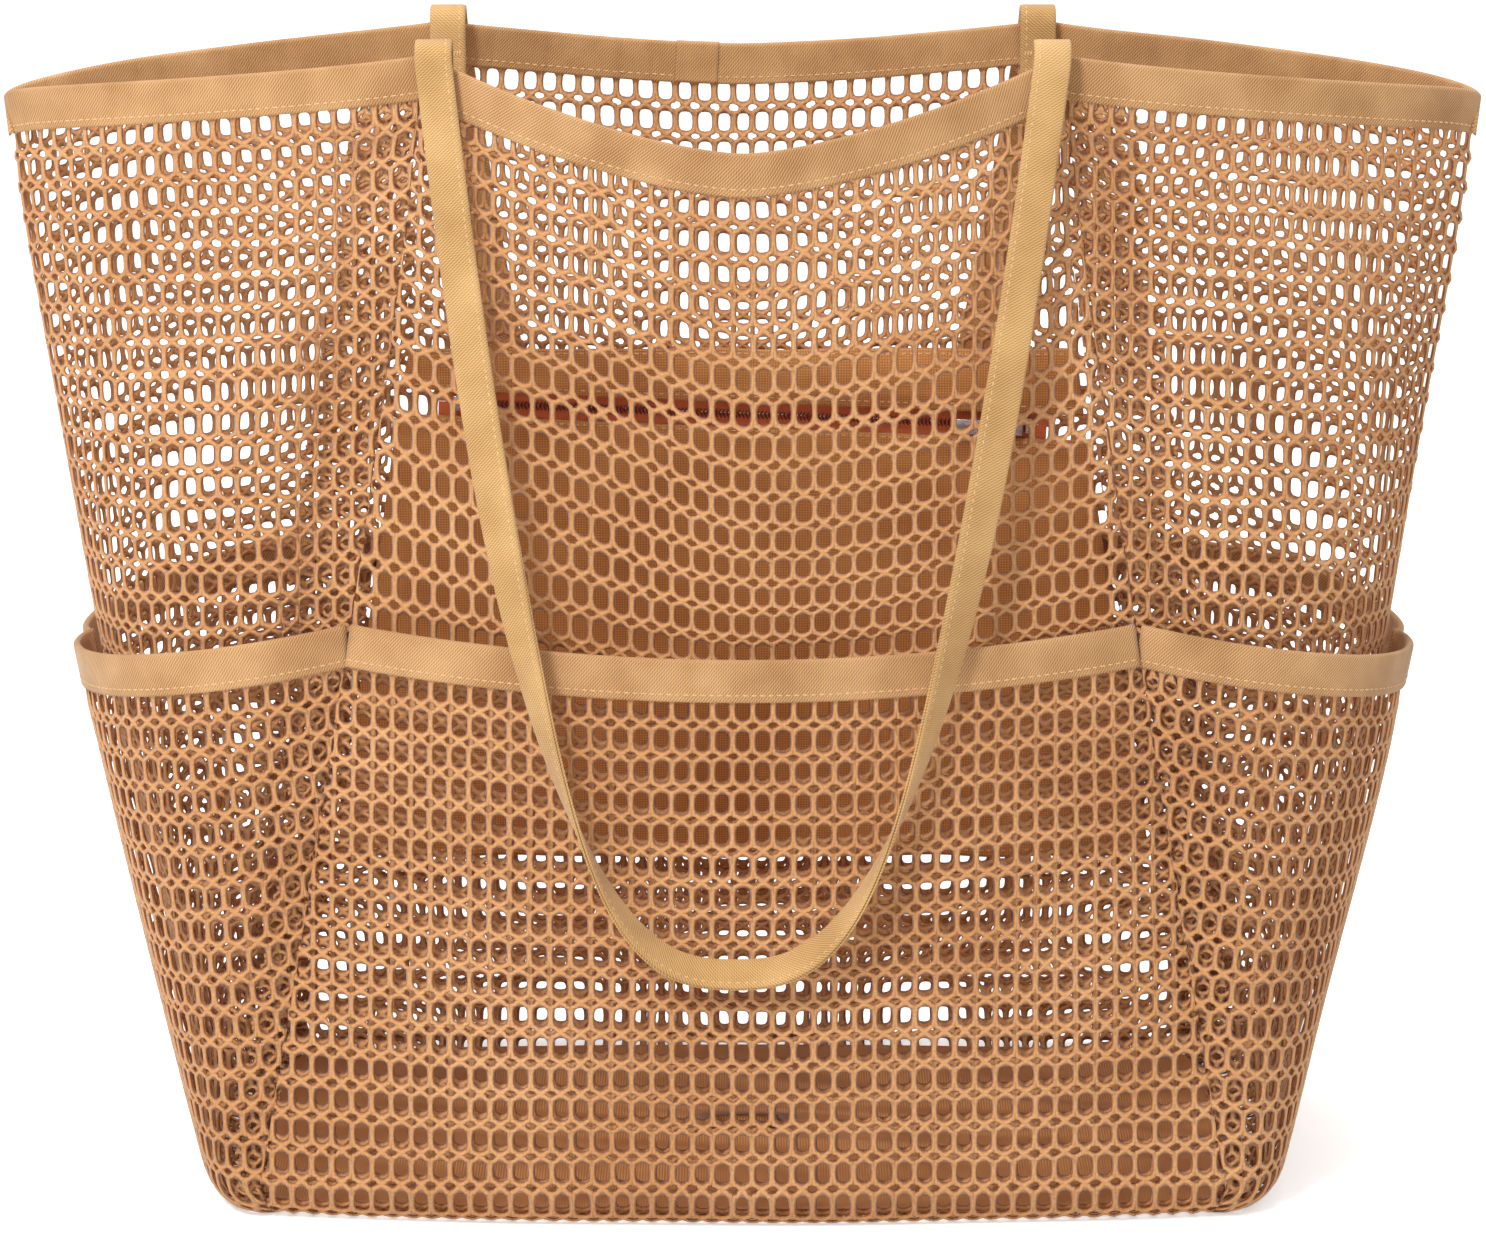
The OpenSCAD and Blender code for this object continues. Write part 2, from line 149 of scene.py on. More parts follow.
def mouth_z(lobe, u):
    u = np.abs(u)
    if lobe in ("front", "back"):
        return MOUTH_Z + 8 * MM * u * u
    return lerp(MOUTH_Z + 8 * MM, MOUTH_Z - 12 * MM, np.sin(np.pi / 2 * (1 - u)))


def pocket_gap(lobe, u, z):
    rise = (z / mouth_z(lobe, u)).clip(0, 1) ** 0.6
    if lobe in ("front", "back"):
        return MOUTH_GAP * np.cos(np.pi / 2 * u).clip(0) ** 0.7 * rise
    v = 1 - np.abs(u)
    return (MOUTH_GAP * np.sin(np.pi * v).clip(0) ** 0.8 + TIP_GAP * v * v) * rise


TURN_LEN = math.pi / 2 * BASE_R


class Sheet:
    """One lobe of the body or of its pocket layer, as a fine grid that can be read at any point.

    a is the distance round the bag from the lobe's middle line, and t the share of the cloth's
    height, from 0 at the base's seam to 1 at the upper edge.
    """

    NU, NT = 181, 161

    def __init__(self, lobe, pocket=False):
        self.lobe, self.pocket = lobe, pocket
        u = np.linspace(-1, 1, self.NU)[:, None] + np.zeros((1, self.NT))
        t = np.linspace(0, 1, self.NT)[None, :] + np.zeros((self.NU, 1))
        top = mouth_z(lobe, u) if pocket else rim_z(lobe, u)
        self.height = TURN_LEN + top - BASE_R
        v = t * self.height
        turn = (v / BASE_R).clip(0, math.pi / 2)
        z = np.where(v < TURN_LEN, BASE_R * (1 - np.cos(turn)), BASE_R + v - TURN_LEN)
        h = z.clip(BASE_R) / rim_z(lobe, u)
        x, y = plan(lobe, u, h.clip(0, 1))
        draw = BASE_R * (1 - np.sin(turn))
        x = x * (1 - draw / tip_x(h))
        y = y * (1 - draw / (pleat_y(h) + front_bulge(h)))
        self.p = np.stack([x, y, z], -1)
        if pocket:
            self.p += self.normals() * (pocket_gap(lobe, u, z) + 1.6 * MM)[..., None]
        self.p += self.normals() * self.ripple(u, t)[..., None]
        self.n = self.normals()
        step = np.linalg.norm(np.diff(self.p, axis=0), axis=-1)
        arc = np.vstack([np.zeros((1, self.NT)), np.cumsum(step, axis=0)])
        self.arc = arc - arc[self.NU // 2]

    def normals(self):
        du = np.gradient(self.p, axis=0)
        dt = np.gradient(self.p, axis=1)
        return unit(np.cross(du, dt))

    @staticmethod
    def below_tape(t, height, reach):
        """0 where the edge tape holds the net, and 1 from a reach below it."""
        f = ((1 - t) * height / reach - (TAPE_W + MM) / reach).clip(0, 1)
        return f * f * (3 - 2 * f)

    def ripple(self, u, t):
        """Slack in the cloth: long soft waves that die out at the pleats and seams."""
        free = self.below_tape(t, self.height, 25 * MM)
        edge = np.cos(np.pi / 2 * u).clip(0) ** 0.5 * np.sin(np.pi * t.clip(0, 1)).clip(0) ** 0.5 * free
        if self.pocket:
            return 0.8 * MM * edge * np.sin(9 * u + 4 * t)
        if self.lobe == "front":
            return edge * (1.8 * MM * np.sin(10 * u + 3 * t) + 1.1 * MM * np.sin(5 * u - 9 * t + 1))
        waves = edge * (1.4 * MM * np.sin(8 * u + 5 * t + 2) + 0.9 * MM * np.sin(4 * u - 11 * t))
        if self.lobe == "back":
            return waves
        # A side folds in beside its pleats, least at the rim and the base.
        inset = (1 - np.abs(u)) * 175 * MM
        fold = np.exp(-(((inset - 14 * MM) / (10 * MM)) ** 2)) * free * (t / 0.1).clip(0, 1)
        return waves - 9 * MM * fold

    def half(self, t):
        """Half the cloth's width to each side, at t."""
        j = np.clip(t, 0, 1) * (self.NT - 1)
        ts = np.arange(self.NT)
        return np.interp(j, ts, self.arc[0]), np.interp(j, ts, self.arc[-1])

    def at(self, a, t, out=0.0):
        """Points at distance a and share t, moved out along the normal, with their normals."""
        a, t = np.broadcast_arrays(np.asarray(a, float), np.asarray(t, float))
        j = np.clip(t, 0, 1) * (self.NT - 1)
        j0 = np.minimum(j.astype(int), self.NT - 2)
        f = (j - j0)[..., None]
        low, low_n = self._row(a, j0)
        high, high_n = self._row(a, j0 + 1)
        p, n = lerp(low, high, f), unit(lerp(low_n, high_n, f))
        return p + n * np.asarray(out)[..., None], n

    def _row(self, a, j):
        i = np.empty(a.shape)
        flat_a, flat_j, flat_i = a.ravel(), j.ravel(), i.reshape(-1)
        for row in np.unique(flat_j):
            pick = flat_j == row
            flat_i[pick] = np.interp(flat_a[pick], self.arc[:, row], np.arange(self.NU))
        i0 = np.minimum(i.astype(int), self.NU - 2)
        f = (i - i0)[..., None]
        return lerp(self.p[i0, j], self.p[i0 + 1, j], f), lerp(self.n[i0, j], self.n[i0 + 1, j], f)

    def u_of(self, u, t, out=0.0):
        """Points and normals as at() gives them, but by a grid share u instead of a distance."""
        i = (np.asarray(u, float) + 1) / 2 * (self.NU - 1)
        j = np.asarray(t, float) * (self.NT - 1)
        i, j = np.broadcast_arrays(i, j)
        i0, j0 = np.minimum(i.astype(int), self.NU - 2), np.minimum(j.astype(int), self.NT - 2)
        fi, fj = (i - i0)[..., None], (j - j0)[..., None]

        def blend(g):
            low, high = (lerp(g[i0, j], g[i0 + 1, j], fi) for j in (j0, j0 + 1))
            return lerp(low, high, fj)

        n = unit(blend(self.n))
        return blend(self.p) + n * np.asarray(out)[..., None], n


# ---------------------------------------------------------------- mesh helpers
def mesh_object(name, verts, faces, uv=None, attribute=None, smooth=True):
    """A mesh from vertices and faces. uv is one pair per vertex, and attribute one number per vertex."""
    mesh = bpy.data.meshes.new(name)
    if isinstance(faces, np.ndarray):
        size = faces.shape[1]
        mesh.vertices.add(len(verts))
        mesh.vertices.foreach_set("co", np.asarray(verts, np.float32).ravel())
        mesh.loops.add(faces.size)
        mesh.loops.foreach_set("vertex_index", faces.astype(np.int32).ravel())
        mesh.polygons.add(len(faces))
        mesh.polygons.foreach_set("loop_start", np.arange(len(faces), dtype=np.int32) * size)
        mesh.update(calc_edges=True)
    else:
        mesh.from_pydata([tuple(v) for v in verts], [], faces)
    mesh.polygons.foreach_set("use_smooth", np.full(len(mesh.polygons), smooth))
    if uv is not None:
        layer = mesh.uv_layers.new(name="UVMap")
        loops = np.empty(len(mesh.loops), np.int32)
        mesh.loops.foreach_get("vertex_index", loops)
        layer.data.foreach_set("uv", np.asarray(uv, np.float32)[loops].ravel())
    if attribute is not None:
        layer = mesh.attributes.new("crest", "FLOAT", "POINT")
        layer.data.foreach_set("value", np.asarray(attribute, np.float32))
    mesh.update()
    obj = bpy.data.objects.new(name, mesh)
    bpy.context.scene.collection.objects.link(obj)
    return obj


def grid_faces(rows, cols, close_rows=False, close_cols=False):
    """Quads between neighbours of a rows by cols grid of vertices."""
    r = np.arange(rows if close_rows else rows - 1)
    c = np.arange(cols if close_cols else cols - 1)
    r, c = np.meshgrid(r, c, indexing="ij")
    r2, c2 = (r + 1) % rows, (c + 1) % cols
    return np.stack([r * cols + c, r2 * cols + c, r2 * cols + c2, r * cols + c2], -1).reshape(-1, 4)


def place(obj, material, body="root", replaces=()):
    obj.data.materials.clear()
    obj.data.materials.append(material)
    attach(obj, body)
    if replaces:
        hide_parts(*replaces)
    return obj


def sweep(centres, across, face, outline, closed=False):
    """Rings of an outline of (across, face) pairs along a path. Returns vertices, faces and UVs."""
    outline = np.asarray(outline, float)
    rings = (
        centres[:, None, :]
        + across[:, None, :] * outline[None, :, :1]
        + face[:, None, :] * outline[None, :, 1:]
    )
    run, girth = run_along(centres)[:, None], run_along(outline)[None, :]
    uv = np.stack(np.broadcast_arrays(run, girth), -1).reshape(-1, 2)
    faces = grid_faces(len(centres), len(outline), closed, True)
    verts = rings.reshape(-1, 3)
    if not closed:
        n, m = len(centres), len(outline)
        verts = np.vstack([verts, rings[0].mean(0), rings[-1].mean(0)])
        uv = np.vstack([uv, uv[0], uv[-1]])
        k = np.arange(m)
        k2 = (k + 1) % m
        low = np.stack([np.full(m, n * m), k, k2], -1)
        high = np.stack([np.full(m, n * m + 1), (n - 1) * m + k2, (n - 1) * m + k], -1)
        faces = faces.tolist() + low.tolist() + high.tolist()
    return verts, faces, uv


# ---------------------------------------------------------------- materials
def new_material(name):
    mat = bpy.data.materials.new(name)
    mat.use_nodes = True
    tree = mat.node_tree
    tree.nodes.clear()
    out = tree.nodes.new("ShaderNodeOutputMaterial")
    shader = tree.nodes.new("ShaderNodeBsdfPrincipled")
    tree.links.new(shader.outputs[0], out.inputs[0])
    return mat, tree, shader


def node(tree, kind, inputs=(), **settings):
    made = tree.nodes.new("ShaderNode" + kind)
    for key, value in settings.items():
        setattr(made, key, value)
    for key, value in dict(inputs).items():
        if isinstance(value, bpy.types.NodeSocket):
            tree.links.new(value, made.inputs[key])
        else:
            made.inputs[key].default_value = value
    return made


def ramp(tree, factor, stops):
    made = node(tree, "ValToRGB", {"Fac": factor})
    elements = made.color_ramp.elements
    while len(elements) < len(stops):
        elements.new(0.5)
    for element, (at, colour) in zip(elements, stops):
        element.position = at
        element.color = (*colour, 1)
    return made.outputs["Color"]


def bump(tree, height, distance, strength=1.0, normal=None):
    made = node(tree, "Bump", {"Height": height, "Distance": distance, "Strength": strength})
    if normal is not None:
        tree.links.new(normal, made.inputs["Normal"])
    return made.outputs["Normal"]


def srgb(r, g, b):
    return tuple(((c / 255 + 0.055) / 1.055) ** 2.4 if c > 10 else c / 255 / 12.92 for c in (r, g, b))


def net_material():
    mat, tree, shader = new_material("net")
    place_co = node(tree, "TexCoord").outputs["Object"]
    patch = node(tree, "TexNoise", {"Vector": place_co, "Scale": 14.0, "Detail": 2.0}).outputs["Fac"]
    knit = node(tree, "TexNoise", {"Vector": place_co, "Scale": 900.0, "Detail": 2.0}).outputs["Fac"]
    crest = node(tree, "Attribute", attribute_name="crest").outputs["Fac"]
    tone = node(tree, "Math", {0: patch, 1: 0.5}, operation="MULTIPLY").outputs[0]
    tone = node(tree, "Math", {0: knit, 1: 0.5, 2: tone}, operation="MULTIPLY_ADD").outputs[0]
    tans = [(0.3, srgb(192, 132, 76)), (0.5, srgb(210, 153, 98)), (0.7, srgb(226, 173, 120))]
    base = ramp(tree, tone, tans)
    # Painted shade: the strands' colour is darkened towards the holes' edges, where their rounded sides
    # fall into shade, and left as it is along their middles.
    painted_shade = ramp(tree, crest, [(0.0, srgb(140, 94, 58)), (0.25, srgb(224, 202, 180)), (0.6, (1, 1, 1))])
    mixed = node(tree, "MixRGB", {"Fac": 1.0, "Color1": base, "Color2": painted_shade}, blend_type="MULTIPLY")
    tree.links.new(mixed.outputs[0], shader.inputs["Base Color"])
    shader.inputs["Roughness"].default_value = 0.82
    shader.inputs["Sheen Weight"].default_value = 0.25
    shader.inputs["Sheen Roughness"].default_value = 0.5
    tree.links.new(bump(tree, knit, 0.25 * MM, 0.8), shader.inputs["Normal"])
    return mat


def twill_material(name, dark, mid, light, rib=0.95 * MM, depth=0.12 * MM):
    """A fine twill: slanting ribs across the tape's own length and girth, with soft blotches."""
    mat, tree, shader = new_material(name)
    uv = node(tree, "TexCoord").outputs["UV"]
    place_co = node(tree, "TexCoord").outputs["Object"]
    turned = node(tree, "Mapping", {"Vector": uv, "Rotation": (0, 0, math.radians(38))}).outputs[0]
    ribs = node(
        tree, "TexWave", {"Vector": turned, "Scale": 1 / rib / 3.3, "Distortion": 0.6, "Detail": 1.0},
        wave_type="BANDS", bands_direction="X",
    ).outputs["Fac"]
    yarn = node(
        tree, "TexWave", {"Vector": uv, "Scale": 1 / rib / 3.0, "Distortion": 0.8, "Detail": 1.0},
        wave_type="BANDS", bands_direction="X",
    ).outputs["Fac"]
    weave = node(tree, "Math", {0: ribs, 1: 0.7}, operation="MULTIPLY").outputs[0]
    weave = node(tree, "Math", {0: yarn, 1: 0.3, 2: weave}, operation="MULTIPLY_ADD").outputs[0]
    blotch = node(tree, "TexNoise", {"Vector": place_co, "Scale": 40.0, "Detail": 4.0}).outputs["Fac"]
    tone = node(tree, "Math", {0: weave, 1: 0.45}, operation="MULTIPLY").outputs[0]
    tone = node(tree, "Math", {0: blotch, 1: 0.55, 2: tone}, operation="MULTIPLY_ADD").outputs[0]
    base = ramp(tree, tone, [(0.25, dark), (0.5, mid), (0.75, light)])
    tree.links.new(base, shader.inputs["Base Color"])
    shader.inputs["Roughness"].default_value = 0.85
    shader.inputs["Sheen Weight"].default_value = 0.2
    tree.links.new(bump(tree, weave, depth), shader.inputs["Normal"])
    return mat


def woven_material(name, dark, light, thread=0.55 * MM):
    """A plain weave from two crossed waves in the piece's own axes."""
    mat, tree, shader = new_material(name)
    place_co = node(tree, "TexCoord").outputs["Object"]
    warp = node(
        tree, "TexWave", {"Vector": place_co, "Scale": 1 / thread / 3.2, "Distortion": 0.5},
        wave_type="BANDS", bands_direction="X",
    ).outputs["Fac"]
    weft = node(
        tree, "TexWave", {"Vector": place_co, "Scale": 1 / thread / 3.2, "Distortion": 0.5},
        wave_type="BANDS", bands_direction="Z",
    ).outputs["Fac"]
    weave = node(tree, "Math", {0: warp, 1: weft}, operation="MULTIPLY").outputs[0]
    blotch = node(tree, "TexNoise", {"Vector": place_co, "Scale": 30.0, "Detail": 4.0}).outputs["Fac"]
    tone = node(tree, "Math", {0: weave, 1: 0.5}, operation="MULTIPLY").outputs[0]
    tone = node(tree, "Math", {0: blotch, 1: 0.6, 2: tone}, operation="MULTIPLY_ADD").outputs[0]
    tree.links.new(ramp(tree, tone, [(0.25, dark), (0.75, light)]), shader.inputs["Base Color"])
    shader.inputs["Roughness"].default_value = 0.8
    shader.inputs["Sheen Weight"].default_value = 0.2
    tree.links.new(bump(tree, weave, 0.1 * MM), shader.inputs["Normal"])
    return mat


def plain_material(name, colour, roughness, metallic=0.0, grain=400.0, depth=0.05 * MM):
    """A small solid piece: metal, thread or nylon with a little unevenness."""
    mat, tree, shader = new_material(name)
    place_co = node(tree, "TexCoord").outputs["Object"]
    noise = node(tree, "TexNoise", {"Vector": place_co, "Scale": grain, "Detail": 3.0}).outputs["Fac"]
    dark = tuple(c * 0.8 for c in colour)
    light = tuple(min(1, c * 1.12) for c in colour)
    tree.links.new(ramp(tree, noise, [(0.35, dark), (0.65, light)]), shader.inputs["Base Color"])
    shader.inputs["Roughness"].default_value = roughness
    shader.inputs["Metallic"].default_value = metallic
    tree.links.new(bump(tree, noise, depth, 0.5), shader.inputs["Normal"])
    return mat


NET = net_material()
TAPE = twill_material("binding_tape", srgb(146, 100, 56), srgb(190, 142, 91), srgb(218, 174, 124))
STRAP = twill_material("handle_strap", srgb(158, 118, 64), srgb(200, 155, 97), srgb(224, 183, 124))
LINING = woven_material("woven_lining", srgb(178, 112, 52), srgb(228, 164, 96), thread=1.1 * MM)
ZIP_TAPE = woven_material("zip_tape", srgb(206, 96, 46), srgb(240, 136, 80), thread=0.4 * MM)
COIL = plain_material("zip_coil", srgb(138, 58, 32), 0.4)
METAL = plain_material("zip_metal", srgb(205, 206, 210), 0.22, metallic=1.0)
THREAD = plain_material("thread", srgb(226, 184, 134), 0.75, grain=1500.0)


# ---------------------------------------------------------------- the net
def superellipse(angle, rx, ry, power):
    c, s = math.cos(angle), math.sin(angle)
    return (
        math.copysign(abs(c) ** (2 / power) * rx, c),
        math.copysign(abs(s) ** (2 / power) * ry, s),
    )


def net_cell():
    """One cell: a large hole at its middle and a quarter of a small hole at each corner.

    Returns points (x, y, crest, side) and triangles. crest is 0 on the holes' edges and 1 along the
    middle of the strands, and side is 1 or -1 for the two faces of the net.
    """
    hx, hy = PITCH_A / 2, PITCH_B / 2
    big = [superellipse(math.radians(d), *BIG_HOLE, 3.2) for d in (0, 25, 47, 68, 90)]
    small = [superellipse(math.radians(d), *SMALL_HOLE, 2.2) for d in (0, 45, 90)]
    small = [(hx - x, hy - y) for x, y in small]
    bar_low, bar_high = (hx, 0.0), (hx, hy * 0.4)
    fork, branch, band = (hx, hy * 0.7), (hx * 0.54, hy * 0.76), (0.0, hy)
    points = [*big, *small, bar_low, bar_high, fork, branch, band]
    b0, b1, b2, b3, b4, s0, s1, s2, v0, v1, tee, dia, mid = range(len(points))
    quarter = [
        (b0, v0, v1), (b0, v1, b1), (b1, v1, b2), (v1, tee, b2), (b2, tee, dia), (b2, dia, b3),
        (b3, dia, mid), (b3, mid, b4), (tee, s2, s1), (tee, s1, dia), (dia, s1, s0), (dia, s0, mid),
    ]
    verts, tris = [], []
    for mx, my in ((1, 1), (-1, 1), (-1, -1), (1, -1)):
        for side in (1, -1):
            start = len(verts)
            for k, (x, y) in enumerate(points):
                crest = 1.0 if k >= v0 else 0.0
                verts.append((mx * x, my * y, crest, side if crest else 0.0))
            flip = (mx * my * side) < 0
            for t in quarter:
                t = t[::-1] if flip else t
                tris.append([start + k for k in t])
    return np.array(verts), np.array(tris)


CELL, CELL_TRIS = net_cell()
WELD = 0.01 * MM


def wander(a, b, seed):
    """A smooth pseudo-random field of about 1, for drift of the loops."""
    rng = np.random.default_rng(seed)
    total = np.zeros(np.broadcast(a, b).shape)
    for _ in range(5):
        ka, kb = rng.normal(0, 60, 2)
        total += np.sin(ka * a + kb * b + rng.uniform(0, 6.28))
    return total / 2.2


def row_drift(sheet, a, t):
    """How far the front's rows have slipped: up at the left and down at the right."""
    if sheet.lobe != "front" or sheet.pocket:
        return 0 * a
    height = np.exp(-(((t - 0.73) / 0.17) ** 2))
    return -10 * MM * height * np.tanh((a / MM + 40) / 38)


def edge_strips(tris, a, b, side):
    """Triangles that join the net's two faces wherever a strand is cut off."""
    keys = np.stack([np.round(a / WELD), np.round(b / WELD)], -1).astype(np.int64)
    _, spot = np.unique(keys, axis=0, return_inverse=True)
    spot = spot.ravel()
    under = np.zeros(spot.max() + 1, int)
    for face in (1, 0, -1):
        pick = np.flatnonzero(side == face)
        under[spot[pick]] = pick
    twin = under[spot]
    ways = tris[:, [[0, 1], [1, 2], [2, 0]]].reshape(-1, 2)
    _, first, times = np.unique(np.sort(ways, axis=1), axis=0, return_index=True, return_counts=True)
    i, j = ways[first[times == 1]].T
    keep = side[i] + side[j] > 0
    i, j = i[keep], j[keep]
    strips = np.vstack([np.stack([j, i, twin[i]], -1), np.stack([j, twin[i], twin[j]], -1)])
    return strips[(strips != np.roll(strips, 1, axis=1)).all(axis=1)]


def net_layer(sheet, seed, shift=(0.0, 0.0), depth=0.0, only_edges=None):
    """One layer of net over a sheet, with cells at a constant pitch and rows of a constant share.

    shift is in cells, depth is along the sheet's normal, and only_edges keeps just a band of that
    width beside each end of the sheet.
    """
    rows = int(round(sheet.height.mean() / PITCH_B))
    left, right = sheet.arc.min(), sheet.arc.max()
    cols = np.arange(int(math.floor(left / PITCH_A)) - 1, int(math.ceil(right / PITCH_A)) + 2)
    ci, cj = np.meshgrid(cols, np.arange(-1, rows + 1), indexing="ij")
    ci, cj = ci.ravel()[:, None], cj.ravel()[:, None]
    grow = 1 + 0.05 * RNG.standard_normal(ci.shape).clip(-2, 2)
    x = CELL[None, :, 0] * np.where(np.abs(CELL[None, :, 0]) < PITCH_A * 0.49, grow, 1)
    y = CELL[None, :, 1] * np.where(np.abs(CELL[None, :, 1]) < PITCH_B * 0.49, grow, 1)
    a = (ci + shift[0]) * PITCH_A + x
    b = (cj + 0.5 + shift[1]) * PITCH_B + y
    crest, side = CELL[None, :, 2] + 0 * a, CELL[None, :, 3] + 0 * a
    keys = np.stack([np.round(a / WELD), np.round(b / WELD), side], -1).reshape(-1, 3).astype(np.int64)
    _, index, inverse = np.unique(keys, axis=0, return_index=True, return_inverse=True)
    a, b, crest, side = (v.ravel()[index] for v in (a, b, crest, side))
    tris = (CELL_TRIS[None] + (np.arange(len(ci)) * len(CELL))[:, None, None]).reshape(-1, 3)
    tris = inverse.ravel()[tris]
    a_moved = a + 0.35 * MM * wander(a, b, seed)
    b_moved = b + 0.45 * MM * wander(a, b, seed + 50)
    b_moved += row_drift(sheet, a, b / (rows * PITCH_B))
    t = b_moved / (rows * PITCH_B)
    lo, hi = sheet.half(t)
    lost = (a_moved < lo) | (a_moved > hi) | (t < 0) | (t > 1)
    tris = tris[~lost[tris].all(axis=1)]
    if only_edges is not None:
        near = (a_moved < lo + only_edges) | (a_moved > hi - only_edges)
        tris = tris[near[tris].any(axis=1)]
    tris = np.vstack([tris, edge_strips(tris, a, b, side)])
    inside = a_moved.clip(lo, hi)
    flat = np.where(inside == a_moved, 1.0, 0.35)
    free = sheet.below_tape(t.clip(0, 1), sheet.height.mean(), 8 * MM)
    flat = flat * lerp(0.5, 1, free)
    verts, _ = sheet.at(inside, t.clip(0, 1), depth * lerp(0.08, 1, free) + side * STRAND_R * flat)
    # The strands that the bag stands on are pressed flat against the ground.
    soft = 1.5 * MM
    verts[:, 2] = np.where(verts[:, 2] < soft, soft * np.exp((verts[:, 2] - soft) / soft), verts[:, 2])
    used = np.unique(tris)
    remap = np.full(len(verts), -1)
    remap[used] = np.arange(len(used))
    return verts[used], remap[tris], crest[used]


def net_piece(name, sheet, seed):
    """A panel of net. Those at the sides have a second layer beside the pleats, where the net is tucked."""
    layers = [net_layer(sheet, seed)]
    if sheet.lobe in ("left", "right"):
        tucked = TUCK_W / 2 if sheet.pocket else TUCK_W
        layers.append(net_layer(sheet, seed + 5, (0.5, 0.42), -3.2 * MM, tucked))
    verts, tris = joined([layer[:2] for layer in layers])
    return mesh_object(name, verts, tris, attribute=np.concatenate([layer[2] for layer in layers]))


def joined(parts):
    verts, faces, start = [], [], 0
    for v, f in parts:
        verts.append(v)
        faces.append(f + start)
        start += len(v)
    return np.vstack(verts), np.vstack(faces)


BODY = {lobe: Sheet(lobe) for lobe in LOBES}
POCKET = {lobe: Sheet(lobe, pocket=True) for lobe in LOBES}
PANEL_OF = {
    "front": "front_body_panel", "back": "back_body_panel",
    "left": "left_side_panel", "right": "right_side_panel",
}


def declare_net(sheet):
    """Work out a net's flat size, widest by tallest; nothing further is done with it."""
    wide, high = sheet.arc[-1] - sheet.arc[0], sheet.height
    if sheet.lobe in ("left", "right"):
        wide = wide + 2 * TUCK_W


def build_nets():
    for k, lobe in enumerate(LOBES):
        body = net_piece(f"{lobe}_body_net", BODY[lobe], seed=10 + k)
        place(body, NET, replaces=[PANEL_OF[lobe]])
        declare_net(BODY[lobe])
        pocket = net_piece(f"{lobe}_pocket_net", POCKET[lobe], seed=30 + k)
        place(pocket, NET, replaces=[f"{lobe}_pocket_panel"])
        declare_net(POCKET[lobe])


# ---------------------------------------------------------------- tapes and stitches
TAPE_OUTER, TAPE_INNER = 1.45 * MM, 0.85 * MM
STITCH_PITCH, STITCH_UP = 3.2 * MM, 2.8 * MM
STITCH_L = 0.72 * STITCH_PITCH


def edge_path(sheets, ends=(0.0, 0.0), step=1.6 * MM):
    """Points along the upper edges of sheets in turn, with their outward directions."""
    points, outs = [], []
    for sheet in sheets:
        count = int(np.linalg.norm(np.diff(sheet.p[:, -1], axis=0), axis=1).sum() / step)
        u = np.linspace(-1 + ends[0], 1 - ends[1], count)
        p, n = sheet.u_of(u, np.ones(count))
        last = None if len(sheets) == 1 else -1
        points.append(p[:last])
        outs.append(n[:last])
    return np.vstack(points), np.vstack(outs)


def smooth_ring(v, times, closed):
    for _ in range(times):
        if closed:
            v = (np.roll(v, 1, 0) + 2 * v + np.roll(v, -1, 0)) / 4
        else:
            v[1:-1] = (v[:-2] + 2 * v[1:-1] + v[2:]) / 4
    return v


def tape_outline():
    """Half-open fold: down the outer leaf's face, and back up inside it. Pairs are (up, out)."""
    outer = [(-TAPE_W * f, TAPE_OUTER) for f in (1, 0.93, 0.82, 0.72, 0.5, 0.25, 0)]
    turns = np.radians([30, 60, 90, 120, 150])
    cap = [(TAPE_OUTER * math.sin(a), TAPE_OUTER * math.cos(a)) for a in turns]
    inner = [(x, -y) for x, y in reversed(outer)]
    up_inside = [(-TAPE_W, -TAPE_INNER), (0, -TAPE_INNER), (TAPE_INNER * 0.8, 0)]
    return outer + cap + inner + up_inside + [(0, TAPE_INNER), (-TAPE_W, TAPE_INNER)]


def creases(p, run, seed):
    """Small folds pressed into the inner leaf where the tape runs round the back of the mouth."""
    rng = np.random.default_rng(seed + 100)
    at = np.cumsum(rng.uniform(9 * MM, 30 * MM, int(run[-1] / (19 * MM))))
    d = run[:, None] - at[None, :]
    fold = 0.9 * np.exp(-((d / (1.5 * MM)) ** 2)) - 0.45 * np.exp(-(((d - 3 * MM) / (2 * MM)) ** 2))
    strength = rng.uniform(0.3, 1.0, len(at))
    return (fold * strength).sum(1) * 0.8 * MM * (p[:, 1] > 0) * (p[:, 2] > MOUTH_Z + 40 * MM)


